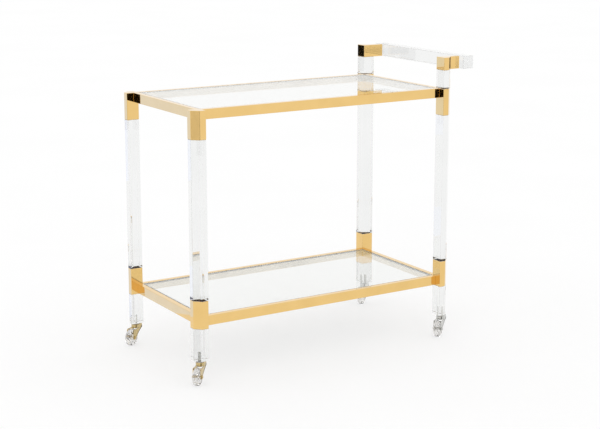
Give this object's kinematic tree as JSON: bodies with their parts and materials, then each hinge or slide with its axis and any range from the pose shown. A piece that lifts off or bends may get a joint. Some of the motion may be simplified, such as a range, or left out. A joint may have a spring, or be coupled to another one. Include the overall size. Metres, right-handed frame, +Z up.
{
  "type": "bar cart",
  "caption": "Two-tier bar cart with glass shelves in polished brass rail frames, clear acrylic legs and push bar, on swivel casters with clear wheels.",
  "frame": {"origin": "on the floor, under the middle of the cart's box, casters and push bar included", "axes": "+Z up, +X towards the push bar along the length, -Y is the front"},
  "size_m": [0.9732, 0.4772, 0.864],
  "materials": {
    "brass": "polished and lacquered",
    "caster_plate": "bright brass plating",
    "acrylic": "flame-polished clear acrylic",
    "wheel_acrylic": "clear moulded plastic",
    "shelf_glass": "clear tempered glass, polished edges",
    "clear_silicone": "clear silicone strip",
    "zinc_steel": "bright zinc plating"
  },
  "bodies": {
    "frame": {"leg_lower_front_left": "acrylic", "bracket_lower_front_left": "brass", "leg_middle_front_left": "acrylic", "bracket_upper_front_left": "brass", "leg_lower_front_right": "acrylic", "bracket_lower_front_right": "brass", "leg_middle_front_right": "acrylic", "bracket_upper_front_right": "brass", "leg_upper_front_right": "acrylic", "handle_elbow_front_right": "brass", "leg_lower_back_left": "acrylic", "bracket_lower_back_left": "brass", "leg_middle_back_left": "acrylic", "bracket_upper_back_left": "brass", "leg_lower_back_right": "acrylic", "bracket_lower_back_right": "brass", "leg_middle_back_right": "acrylic", "bracket_upper_back_right": "brass", "leg_upper_back_right": "acrylic", "handle_elbow_back_right": "brass", "push_bar": "acrylic", "rail_lower_front": "brass", "rail_lower_back": "brass", "rail_lower_left": "brass", "rail_lower_right": "brass", "glass_seat_lower": "clear_silicone", "glass_lower": "shelf_glass", "rail_upper_front": "brass", "rail_upper_back": "brass", "rail_upper_left": "brass", "rail_upper_right": "brass", "glass_seat_upper": "clear_silicone", "glass_upper": "shelf_glass", "caster_stem_front_left": "zinc_steel", "caster_nut_front_left": "zinc_steel", "caster_stem_front_right": "zinc_steel", "caster_nut_front_right": "zinc_steel", "caster_stem_back_left": "zinc_steel", "caster_nut_back_left": "zinc_steel", "caster_stem_back_right": "zinc_steel", "caster_nut_back_right": "zinc_steel"},
    "swivel_front_left": {"caster_fork_front_left": "caster_plate", "caster_axle_front_left": "caster_plate"},
    "wheel_front_left": {"caster_wheel_front_left": "wheel_acrylic"},
    "swivel_front_right": {"caster_fork_front_right": "caster_plate", "caster_axle_front_right": "caster_plate"},
    "wheel_front_right": {"caster_wheel_front_right": "wheel_acrylic"},
    "swivel_back_left": {"caster_fork_back_left": "caster_plate", "caster_axle_back_left": "caster_plate"},
    "wheel_back_left": {"caster_wheel_back_left": "wheel_acrylic"},
    "swivel_back_right": {"caster_fork_back_right": "caster_plate", "caster_axle_back_right": "caster_plate"},
    "wheel_back_right": {"caster_wheel_back_right": "wheel_acrylic"}
  },
  "joints": [
    {"name": "swivel_front_left_turn", "type": "hinge", "parent": "frame", "child": "swivel_front_left", "pos_m": [-0.44344, -0.20174, 0.06], "axis": [0, 0, 1], "continuous": true},
    {"name": "wheel_front_left_spin", "type": "hinge", "parent": "swivel_front_left", "child": "wheel_front_left", "pos_m": [-0.46026, -0.21743, 0.025], "axis": [0.682, -0.7314, 0], "continuous": true},
    {"name": "swivel_front_right_turn", "type": "hinge", "parent": "frame", "child": "swivel_front_right", "pos_m": [0.39656, -0.20174, 0.06], "axis": [0, 0, 1], "continuous": true},
    {"name": "wheel_front_right_spin", "type": "hinge", "parent": "swivel_front_right", "child": "wheel_front_right", "pos_m": [0.3775, -0.2146, 0.025], "axis": [0.5592, -0.829, 0], "continuous": true},
    {"name": "swivel_back_left_turn", "type": "hinge", "parent": "frame", "child": "swivel_back_left", "pos_m": [-0.44344, 0.21826, 0.06], "axis": [0, 0, 1], "continuous": true},
    {"name": "wheel_back_left_spin", "type": "hinge", "parent": "swivel_back_left", "child": "wheel_back_left", "pos_m": [-0.46294, 0.20607, 0.025], "axis": [0.5299, -0.848, 0], "continuous": true},
    {"name": "swivel_back_right_turn", "type": "hinge", "parent": "frame", "child": "swivel_back_right", "pos_m": [0.39656, 0.21826, 0.06], "axis": [0, 0, 1], "continuous": true},
    {"name": "wheel_back_right_spin", "type": "hinge", "parent": "swivel_back_right", "child": "wheel_back_right", "pos_m": [0.37844, 0.2041, 0.025], "axis": [0.6157, -0.788, 0], "continuous": true}
  ]
}
